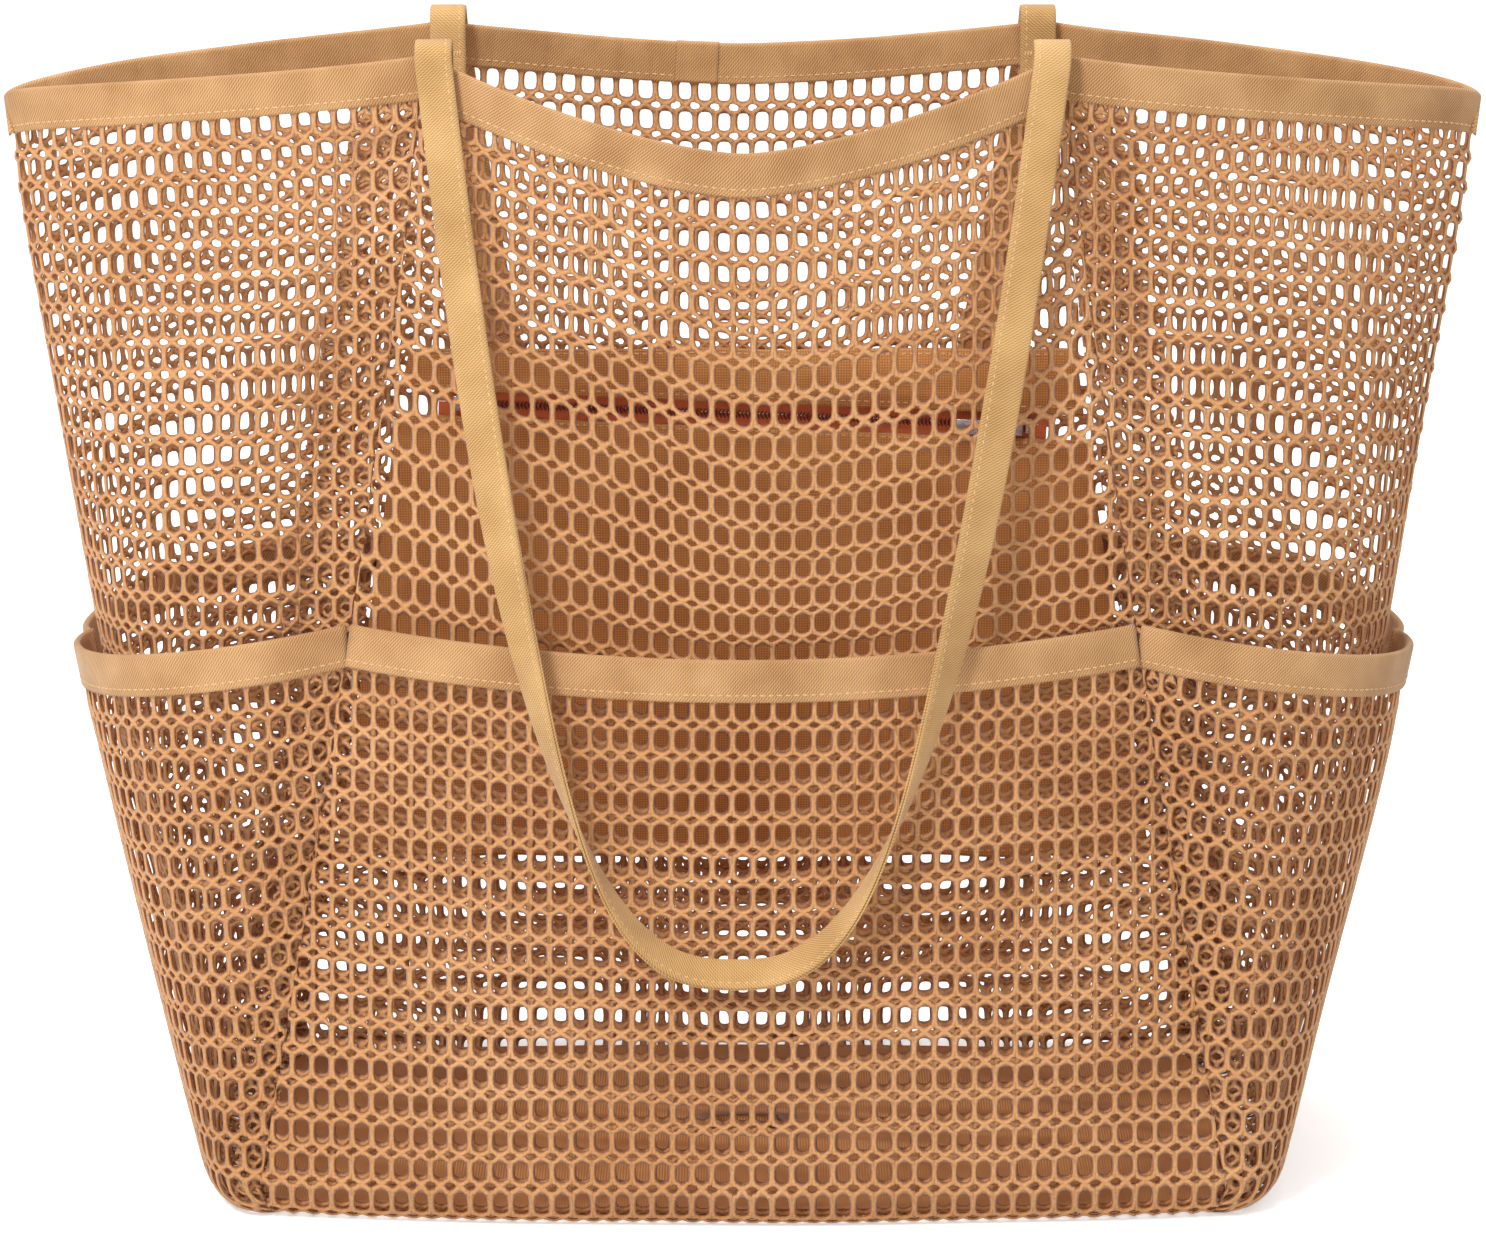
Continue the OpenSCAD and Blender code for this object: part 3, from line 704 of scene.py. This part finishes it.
def tape_piece(name, p, n, closed, seed, swell=1.0):
    t = np.roll(p, -1, 0) - np.roll(p, 1, 0) if closed else np.gradient(p, axis=0)
    t = unit(t)
    n = smooth_ring(n.copy(), 6, closed)
    n = unit(n - t * (n * t).sum(1, keepdims=True))
    up = np.cross(n, t)
    up *= np.sign(up[:, 2:3])
    outline = np.array(tape_outline()) * np.array([1, swell])
    verts, faces, uv = sweep(p, up, n, outline, closed)
    run = run_along(p)
    m = len(outline)
    ring = verts[: len(p) * m].reshape(len(p), m, 3)
    # Puckers: each stitch pulls the leaf in, and the fold wavers a little between them.
    depth = np.exp(-(((outline[:, 0] + TAPE_W - STITCH_UP) / (2.2 * MM)) ** 2))
    pull = 0.5 + 0.5 * np.cos(2 * np.pi * run / STITCH_PITCH)
    sign = np.sign(outline[:, 1])
    ring -= n[:, None] * (0.22 * MM * pull[:, None] * depth * sign)[..., None]
    waver = wander(run * 0.6, 0 * run, seed) * 0.35 * MM
    ring += n[:, None] * (waver[:, None] * np.ones(m))[..., None]
    inner_leaf = (outline[:, 1] < 0).astype(float)
    ring += n[:, None] * (creases(p, run, seed)[:, None] * inner_leaf)[..., None]
    verts[: len(p) * m] = ring.reshape(-1, 3)
    obj = mesh_object(name, verts, faces, uv=uv)
    return obj, n, up, run, waver


def capsules(centres, along, out, length, radius, sides=6):
    """Small rounded stitches: one tapered tube per centre."""
    along = unit(along)
    cross = np.cross(along, out)
    rings = [(-0.5, 0.0), (-0.42, 0.7), (-0.2, 1.0), (0.2, 1.0), (0.42, 0.7), (0.5, 0.0)]
    ang = np.arange(sides) / sides * 2 * np.pi
    parts = []
    for f, r in rings:
        mid = centres + along * (length * f) - out * (1.8 * radius * abs(f))
        ring = mid[:, None] + radius * max(r, 0.05) * (
            out[:, None] * np.cos(ang)[None, :, None] + cross[:, None] * np.sin(ang)[None, :, None]
        )
        parts.append(ring)
    verts = np.stack(parts, 1).reshape(-1, 3)
    one = grid_faces(len(rings), sides, False, True)
    faces = (one[None] + (np.arange(len(centres)) * len(rings) * sides)[:, None, None]).reshape(-1, 4)
    return verts, faces


def stitch_line(p, n, up, run, waver, height):
    """Lock stitches along a tape, on both its leaves, at a height above its fold."""
    at = np.arange(STITCH_PITCH / 2, run[-1], STITCH_PITCH)
    near = 0.4 * MM
    along = read_along(at + near, run, p) - read_along(at - near, run, p)
    lines = []
    for side in (1, -1):
        centres = read_along(at, run, p + up * height + n * (TAPE_OUTER * side + waver[:, None]))
        lines.append(capsules(centres, along, unit(read_along(at, run, n)) * side, STITCH_L, 0.34 * MM))
    return lines


def build_tapes():
    p, n = edge_path([BODY[lobe] for lobe in LOBES])
    p = smooth_ring(p, 2, True)
    obj, n, up, run, waver = tape_piece("rim_tape", p, n, True, 3)
    place(obj, TAPE, replaces=["rim_binding"])
    # The tape's end laps over its start at the back, a little to the left of the middle.
    lap_p, lap_n = BODY["back"].u_of(np.linspace(0.08, 0.22, 16), np.ones(16))
    lap = tape_piece("rim_tape_lap", lap_p + np.array([0, 0, 0.4 * MM]), lap_n, False, 90, swell=1.3)[0]
    place(lap, TAPE)
    stitches = stitch_line(p, n, up, run, waver, STITCH_UP - TAPE_W)
    place(mesh_object("rim_stitches", *joined(stitches)), THREAD)
    parts = []
    for k, lobe in enumerate(LOBES):
        p, n = edge_path([POCKET[lobe]], ends=(0.01, 0.01))
        obj, n, up, run, waver = tape_piece(f"{lobe}_pocket_tape", p, n, False, 20 + k)
        place(obj, TAPE, replaces=[f"{lobe}_pocket_binding"])
        parts += stitch_line(p, n, up, run, waver, STITCH_UP - TAPE_W)
    place(mesh_object("pocket_stitches", *joined(parts)), THREAD)


# ---------------------------------------------------------------- handles
HINGE_Y, HINGE_Z = -PLEAT_Y_TOP - 2 * MM, FOOT_Z + 5.5 * MM
LEG_OUT, BEND_R, LOOP_TWIST = 7.8 * MM, 4.5 * MM, math.radians(125)
LEG_TOP_Z = HINGE_Z - BEND_R
TAB_LOW = 422 * MM


def leg_out(z):
    a = -HINGE_Y + LEG_OUT + 0.244 * (LEG_TOP_Z - z)
    b = 109 * MM + 0.0857 * (240 * MM - z)
    return (a + b - np.sqrt((a - b) ** 2 + (8 * MM) ** 2)) / 2


def strap_half(side):
    """Middle line of half the front strap: up a leg, over the mouth's edge and down inside it."""
    q = np.sin(np.pi / 2 * np.linspace(0, 1, 110)) ** 2
    z = lerp(LOOP_Z, LEG_TOP_Z, q)
    leg = np.stack([side * FOOT_X * q**0.365 - LOOP_LEAN * (1 - q), -leg_out(z), z], -1)
    tab_y = -PLEAT_Y_TOP + 4.4 * MM
    mid_y, reach = (leg[-1, 1] + tab_y) / 2, (tab_y - leg[-1, 1]) / 2
    foot, turns = side * FOOT_X, np.radians(np.arange(12, 181, 12))
    arch = [(foot, mid_y - reach * math.cos(a), LEG_TOP_Z + 6 * MM * math.sin(a)) for a in turns]
    tab = [(foot, tab_y, z) for z in np.linspace(LEG_TOP_Z - 2 * MM, TAB_LOW, 10)]
    return np.vstack([leg, arch, tab])


def even_path(p, step):
    run = run_along(p)
    at = np.linspace(0, run[-1], int(run[-1] / step))
    return read_along(at, run, p), at


def strap_outline():
    """A tape folded lengthwise in section, (across, face): round at the fold, open at the stitched edge."""
    w, t, r, slit = STRAP_W / 2, STRAP_T / 2, 0.9 * MM, 0.05 * MM
    fold = [(w - r + r * math.sin(a), t * math.cos(a)) for a in np.radians(np.arange(0, 181, 22.5))]
    under = [(w * f, -t) for f in (0.5, 0, -0.5, -0.8)] + [(-w, -t * 0.75), (-w, -t * 0.3)]
    inside = [(-w + 0.6 * MM, -slit), (0, -slit)]
    over, outside = ([(x, -y) for x, y in reversed(v)] for v in (under, inside))
    return [*outside, *over, *fold, *under, *inside, (w - 1.4 * MM, 0)]


def build_handle(name, back):
    path = np.vstack([strap_half(-1)[:0:-1], strap_half(1)])
    path, run = even_path(path, 2.2 * MM)
    path = smooth_ring(path, 3, False)
    t = unit(np.gradient(path, axis=0))
    rise = ((path[:, 2] - LOOP_Z) / (LEG_TOP_Z - LOOP_Z)).clip(0, 1)
    turn = (LOOP_TWIST * (1 - rise / 0.7).clip(0) ** 1.6)[:, None]
    inward = np.cross(t, np.array([0.0, 1.0, 0.0]))
    inward /= np.linalg.norm(inward, axis=1, keepdims=True).clip(1e-6)
    face0 = np.array([0.0, -1.0, 0.0]) * np.cos(turn) - inward * np.sin(turn)
    sideways = np.where(np.arange(len(path)) < len(path) // 2, -1.0, 1.0)
    flat = np.stack([sideways, 0 * sideways, 0 * sideways], -1)
    ease = ((path[:, 2:3] - (LEG_TOP_Z - 60 * MM)) / (35 * MM)).clip(0, 1)
    ease = np.where(path[:, 1:2] > HINGE_Y, 1.0, ease)
    across = lerp(np.cross(t, face0), flat, ease)
    across = unit(across - t * (across * t).sum(1, keepdims=True))
    face = np.cross(across, t)
    if back:
        path, t, across, face = (v * np.array([1, -1, 1]) for v in (path, t, across, face))
    verts, faces, uv = sweep(path, across, face, strap_outline())
    if back:
        faces = [f[::-1] for f in faces]
    strap = mesh_object(f"{name}_strap", verts, faces, uv=uv)
    strap.data.materials.append(STRAP)
    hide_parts(name, f"{name}_ends")
    at = np.arange(4 * MM, run[-1] - 4 * MM, STITCH_PITCH)
    line = path - across * (STRAP_W / 2 - 2.3 * MM)
    centre, along, out = (read_along(at, run, v) for v in (line, t, face))
    up = STRAP_T / 2 - 0.02 * MM
    lines = [capsules(centre + out * side * up, along, out * side, STITCH_L, 0.32 * MM) for side in (1, -1)]
    stitches = mesh_object(f"{name}_stitches", *joined(lines))
    stitches.data.materials.append(THREAD)
    flat = (2 * STRAP_W, float(run[-1]))
    sign = -1 if back else 1
    start, end = ((0, sign * (HINGE_Y + reach), HINGE_Z) for reach in (5 * MM, -5 * MM))
    for piece in (strap, stitches):
        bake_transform(piece)
        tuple(start)
        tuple(end)


def build_tacks():
    """Bar tacks: rows of short upright stitches across each strap end, on the inside of the mouth."""
    rows, tack_y = [], 42.4 * MM
    for mirror in (1, -1):
        for foot in (-FOOT_X, FOOT_X):
            for z in (TAB_LOW + 3 * MM, TAB_LOW + 13 * MM):
                x = foot + np.arange(-5, 5.01, 1.1) * MM
                centre = np.stack([x, 0 * x - mirror * tack_y, 0 * x + z], -1)
                along = np.tile([0.2, 0.0, 1.0], (len(x), 1))
                out = np.tile([0.0, float(mirror), 0.0], (len(x), 1))
                rows.append(capsules(centre, along, out, 2.6 * MM, 0.42 * MM))
    place(mesh_object("strap_bar_tacks", *joined(rows)), THREAD, replaces=["handle_bar_tacks"])


# ---------------------------------------------------------------- inner pocket and zip
SLOT_W, STOP_L = 11 * MM, 3 * MM
COIL_R, COIL_Z = 1.1 * MM, 0.8 * MM


def inner_half_w(z):
    return pleat_x(z / FOOT_Z) - 3 * MM


def inner_y(z):
    return pleat_y(z / FOOT_Z) - CLOTH_T - INNER_CLEAR


INNER_TILT = math.atan2(inner_y(INNER_LOW_Z) - inner_y(INNER_TOP_Z), INNER_TOP_Z - INNER_LOW_Z)
INNER_LEN = (INNER_TOP_Z - INNER_LOW_Z) / math.cos(INNER_TILT)


def on_pocket(p):
    """From the pocket's own frame (x across, -z down the cloth, -y to its front) to the bag's."""
    c, s = math.cos(INNER_TILT), math.sin(INNER_TILT)
    x, y, z = p[..., 0], p[..., 1], p[..., 2]
    return np.stack([x, inner_y(INNER_TOP_Z) + y * c - z * s, INNER_TOP_Z + y * s + z * c], -1)


def on_zip(p):
    c, s = math.cos(ZIP_SLOPE), math.sin(ZIP_SLOPE)
    x, y, z = p[..., 0], p[..., 1], p[..., 2]
    return on_pocket(np.stack([x * c + z * s, y, -x * s + z * c - ZIP_DROP], -1))


def thick_sheet(name, front, back):
    """A closed sheet from two grids of the same shape, with UVs in metres."""
    rows, cols = front.shape[:2]
    one = grid_faces(rows, cols)
    k = np.arange(rows * cols).reshape(rows, cols)
    rim = np.concatenate([k[0], k[1:, -1], k[-1, -2::-1], k[-2:0:-1, 0]])
    after = np.roll(rim, -1)
    total = rows * cols
    edge = np.stack([rim, rim + total, after + total, after], -1)
    verts = np.vstack([front.reshape(-1, 3), back.reshape(-1, 3)])
    u, v = run_along(front[:, cols // 2])[:, None], run_along(front[rows // 2])[None, :]
    uv = np.tile(np.stack(np.broadcast_arrays(u, v), -1).reshape(-1, 2), (2, 1))
    return mesh_object(name, verts, np.vstack([one, one[:, ::-1] + total, edge[:, ::-1]]), uv=uv)


def pocket_cloth(name, top, low, hem_at_top, replaces):
    """One piece of the inner pocket, between two depths below the pocket's upper edge."""
    s = np.linspace(-1, 1, 141)[:, None]
    f = np.linspace(0, 1, 121 if hem_at_top else 25)[None, :]
    half_top, half_low = inner_half_w(INNER_TOP_Z), inner_half_w(INNER_LOW_Z)
    drop = lerp(top, low, f)
    x = s * lerp(half_top, half_low, drop / INNER_LEN)
    slope = -x * math.tan(ZIP_SLOPE)
    z = -drop + slope * ((1 - f) if hem_at_top else f)
    zip_near = np.exp(-(((z - slope + ZIP_DROP) / (14 * MM)) ** 2))
    held = np.sqrt(np.cos(np.pi / 2 * s).clip(0))
    belly = (5 + 3 * s) * MM * np.sin(np.pi * f * (1 if hem_at_top else 0.5))
    long_folds = 1.1 * MM * np.sin(23 * x / 0.3 + 2.2 * np.sin(9 * z / 0.3))
    folds = long_folds + 0.8 * MM * np.sin(41 * x / 0.3 + 17 * z / 0.3)
    y = -(belly + folds) * held * (1 - zip_near)
    hem = np.abs((f if hem_at_top else 1 - f) * (low - top))
    y = y - 0.7 * MM / (1 + np.exp((hem - 7 * MM) / (0.4 * MM)))
    front = on_pocket(np.stack(np.broadcast_arrays(x, y - 1.3 * MM, z), -1))
    back = on_pocket(np.stack(np.broadcast_arrays(x, y - 0.5 * MM, z), -1))
    obj = thick_sheet(name, front, back)
    place(obj, LINING, replaces=replaces)
    # Stitches along the turned edge beside the zip, and along the other edge.
    lines = []
    for share in ((0.012, 0.985) if hem_at_top else (0.12, 0.88)):
        line = front[:, int(share * (front.shape[1] - 1))]
        run = run_along(line)
        at = np.arange(3 * MM, run[-1] - 3 * MM, STITCH_PITCH)
        pos = read_along(at, run, line)
        ahead = read_along(at + MM, run, line)
        out = np.tile(on_pocket(np.array([0.0, -1, 0])) - on_pocket(np.zeros(3)), (len(at), 1))
        lines.append(capsules(pos + out * 0.1 * MM, ahead - pos, out, STITCH_L, 0.32 * MM))
    return lines


def build_inner_pocket():
    edge = ZIP_DROP - SLOT_W / 2
    lines = pocket_cloth("inner_pocket_strip", 0.0, edge, False, ["inner_pocket_top_strip"])
    lines += pocket_cloth("inner_pocket_cloth", edge + SLOT_W, INNER_LEN, True, ["inner_pocket_panel"])
    place(mesh_object("inner_pocket_stitches", *joined(lines)), THREAD)


def tube(centres, radius, sides=6):
    t = unit(np.gradient(centres, axis=0))
    side = unit(np.cross(t, np.array([0.31, 0.87, 0.38])))
    ang = np.arange(sides) / sides * 2 * np.pi
    outline = np.stack([radius * np.cos(ang), radius * np.sin(ang)], -1)
    return sweep(centres, side, np.cross(side, t), outline)


def rounded_block(lo, hi, radius):
    """A block with rounded edges, as vertices and faces."""
    bm = bmesh.new()
    bmesh.ops.create_cube(bm, size=1.0)
    lo, hi = np.array(lo), np.array(hi)
    for v in bm.verts:
        v.co = tuple((lo + hi) / 2 + np.array(v.co) * (hi - lo))
    bmesh.ops.bevel(bm, geom=list(bm.edges), offset=radius, segments=3, profile=0.5, affect="EDGES")
    verts = np.array([tuple(v.co) for v in bm.verts])
    faces = [[v.index for v in f.verts] for f in bm.faces]
    bm.free()
    return verts, faces


def piled(parts):
    verts, faces, start = [], [], 0
    for v, f in parts:
        verts.append(v)
        faces += [[int(k) + start for k in face] for face in f]
        start += len(v)
    return np.vstack(verts), faces


def build_zip():
    """Two tapes, each with its helical coil, and the metal stops, slider and pull."""
    over, wide, thick, inner, wire = (v * MM for v in (6, 12, 0.6, 0.1, 0.33))
    for side, name in ((1, "upper"), (-1, "lower")):
        z = (side * inner, side * (inner + wide))
        lo, hi = (-ZIP_L / 2 - over, 0.05 * MM, min(z)), (ZIP_L / 2 + over, thick, max(z))
        part = rounded_block(lo, hi, 0.15 * MM)
        verts = on_zip(part[0])
        tape = mesh_object(f"zip_{name}_tape", verts, part[1], uv=part[0][:, (0, 2)], smooth=False)
        place(tape, ZIP_TAPE, replaces=[f"zip_tape_{name}"])
        length = ZIP_L - 2 * STOP_L
        turns = int(length / (1.55 * MM))
        a = np.linspace(0, 2 * np.pi * turns, turns * 12)
        x = np.linspace(-length / 2, length / 2, len(a))
        turn_r = COIL_R - wire
        spiral = np.stack([x, -COIL_R + turn_r * np.cos(a), side * (COIL_Z + turn_r * np.sin(a))], -1)
        verts, faces, _ = tube(spiral, wire)
        coil = mesh_object(f"zip_{name}_coil", on_zip(verts), faces)
        place(coil, COIL, replaces=[f"zip_coil_{name}"])
    stops = [
        rounded_block((x, -2.4 * MM, -3.4 * MM), (x + STOP_L, 0, 3.4 * MM), 0.7 * MM)
        for x in (-ZIP_L / 2, ZIP_L / 2 - STOP_L)
    ]
    verts, faces = piled(stops)
    place(mesh_object("zip_stops", on_zip(verts), faces), METAL, replaces=["zip_end_stops"])
    build_slider()


def build_slider():
    length, width, plate, front, back, pin_y = (v * MM for v in (10, 8, 1, -2.6, 1.1, -6))
    at = np.array([ZIP_L / 2 - STOP_L - MM - length / 2, 0, 0])
    half, eye = length / 2, 2 * MM
    parts = [
        rounded_block((-half, front - plate, -width / 2), (half, front, width / 2), 0.45 * MM),
        rounded_block((-half, back, -width / 2), (half, back + plate, width / 2), 0.45 * MM),
        rounded_block((-3 * MM, front, -0.3 * MM), (3 * MM, back, 0.3 * MM), 0.1 * MM),
    ]
    for s in (-1, 1):
        z = s * (eye + 0.7 * MM)
        lo, hi = (-MM, pin_y - MM, z - MM / 2), (MM, front - plate + 0.3 * MM, z + MM / 2)
        parts.append(rounded_block(lo, hi, 0.3 * MM))
    pin = np.stack([np.zeros(6), np.full(6, pin_y), np.linspace(-eye - 0.9 * MM, eye + 0.9 * MM, 6)], -1)
    parts.append(tube(pin, 0.8 * MM, 20)[:2])
    verts, faces = piled(parts)
    slider = mesh_object("zip_runner", on_zip(verts + at), faces)
    place(slider, METAL, body="zip_slider", replaces=["zip_slider"])
    reach, thick, wide = 24 * MM, 1.2 * MM, 6.5 * MM
    loop = np.radians(np.arange(0, 360, 12))
    ring = np.stack([1.45 * MM * np.cos(loop), 1.45 * MM * np.sin(loop), 0 * loop], -1)
    out = np.stack([np.cos(loop), np.sin(loop), 0 * loop], -1)
    up = np.tile([0.0, 0.0, 1.0], (len(loop), 1))
    band = np.array([(0.45, -1.9), (0.45, 1.9), (-0.45, 1.9), (-0.45, -1.9)]) * MM
    parts = [
        sweep(ring, out, up, band, closed=True)[:2],
        rounded_block((-8 * MM, -thick / 2, -1.8 * MM), (-1.6 * MM, thick / 2, 1.8 * MM), 0.3 * MM),
        rounded_block((-reach, -thick / 2, -wide / 2), (-6.5 * MM, thick / 2, wide / 2), 0.5 * MM),
    ]
    verts, faces = piled(parts)
    pull = mesh_object("zip_puller", on_zip(verts + at + np.array([0, pin_y, 0])), faces)
    place(pull, METAL, body="zip_pull", replaces=["zip_pull"])


def build_base():
    """The woven base, which fills the ring where the net turns under."""
    ring = np.vstack([BODY[lobe].p[:-1, 0] for lobe in LOBES])
    rings = 26
    share = np.linspace(1, 0, rings, endpoint=False) ** 0.8
    levels = []
    for height, ripple in ((CLOTH_T, 1.0), (0.2 * MM, 0.0)):
        grid = ring[None] * share[:, None, None]
        x, y = grid[..., 0], grid[..., 1]
        fade = np.sqrt((1 - share).clip(0))[:, None]
        folds = 0.6 * np.sin(30 * x + 9 * np.sin(25 * y)) + 0.4 * np.sin(60 * y + 20 * x) + 0.6
        z = height + ripple * fade * MM * folds
        levels.append(np.stack([x * 0.998, y * 0.998, z], -1).reshape(-1, 3))
    verts = np.vstack([*levels, [0, 0, CLOTH_T + 0.4 * MM], [0, 0, 0.2 * MM]])
    count = len(ring)
    inner, under = (rings - 1) * count, rings * count
    quads = grid_faces(rings, count, False, True)
    k = np.arange(count)
    k2 = (k + 1) % count
    over_fan = np.stack([inner + k, inner + k2, np.full(count, 2 * under)], -1)
    under_fan = np.stack([under + inner + k2, under + inner + k, np.full(count, 2 * under + 1)], -1)
    edge = np.stack([k2, k, under + k, under + k2], -1)
    groups = (quads, quads[:, ::-1] + under, over_fan, under_fan, edge)
    faces = [face for group in groups for face in group.tolist()]
    base = mesh_object("base_cloth", verts, faces)
    place(base, LINING, replaces=["base_panel"])


# ---------------------------------------------------------------- stage
def build_stage():
    half, below = 6.0, -0.2 * MM
    corners = half * np.array([(-1, -1, 0), (1, -1, 0), (1, 1, 0), (-1, 1, 0)]) + np.array([0, 0, below])
    floor = mesh_object("floor", corners, np.array([[0, 1, 2, 3]]))
    mat, tree, shader = new_material("floor")
    shader.inputs["Base Color"].default_value = (0.9, 0.9, 0.9, 1)
    shader.inputs["Roughness"].default_value = 0.7
    # A lit white sweep: its own glow is seen, but doesn't light the bag.
    shader.inputs["Emission Color"].default_value = (1, 1, 1, 1)
    seen = node(tree, "LightPath").outputs["Is Camera Ray"]
    glow = node(tree, "Math", {0: seen, 1: 0.5}, operation="MULTIPLY")
    tree.links.new(glow.outputs[0], shader.inputs["Emission Strength"])
    floor.data.materials.append(mat)
    world = bpy.data.worlds.new("studio")
    world.use_nodes = True
    tree = world.node_tree
    back = tree.nodes["Background"]
    back.inputs[0].default_value = (1, 1, 1, 1)
    # White behind the bag, and a softer light from all round than that white would give.
    seen = node(tree, "LightPath").outputs["Is Camera Ray"]
    strength = node(tree, "Math", {0: seen, 1: 0.35, 2: 0.65}, operation="MULTIPLY_ADD")
    tree.links.new(strength.outputs[0], back.inputs[1])
    bpy.context.scene.world = world

    def area(name, where, target, size, power):
        light = bpy.data.lights.new(name, "AREA")
        light.shape = "DISK"
        light.size = size
        light.energy = power
        obj = bpy.data.objects.new(name, light)
        obj.location = where
        d = np.array(target) - np.array(where)
        obj.rotation_euler = (math.acos(-d[2] / np.linalg.norm(d)), 0, math.pi - math.atan2(d[0], -d[1]))
        bpy.context.scene.collection.objects.link(obj)

    area("key", (-0.9, -1.5, 1.9), (0, 0, 0.2), 0.7, 46)
    area("top", (0.2, 0.3, 2.4), (0, 0, 0.1), 1.2, 20)
    camera = bpy.data.objects.new("camera", bpy.data.cameras.new("camera"))
    camera.location = (0, -2.0, 0.722)
    camera.rotation_euler = (math.radians(90 - 14.3), 0, 0)
    camera.data.sensor_width = 36
    camera.data.lens = 125.3
    bpy.context.scene.collection.objects.link(camera)
    bpy.context.scene.camera = camera
    bpy.context.scene.view_settings.view_transform = "Standard"


build_stage()
build_nets()
build_tapes()
build_handle("front_handle", False)
build_handle("back_handle", True)
build_tacks()
build_inner_pocket()
build_zip()
build_base()
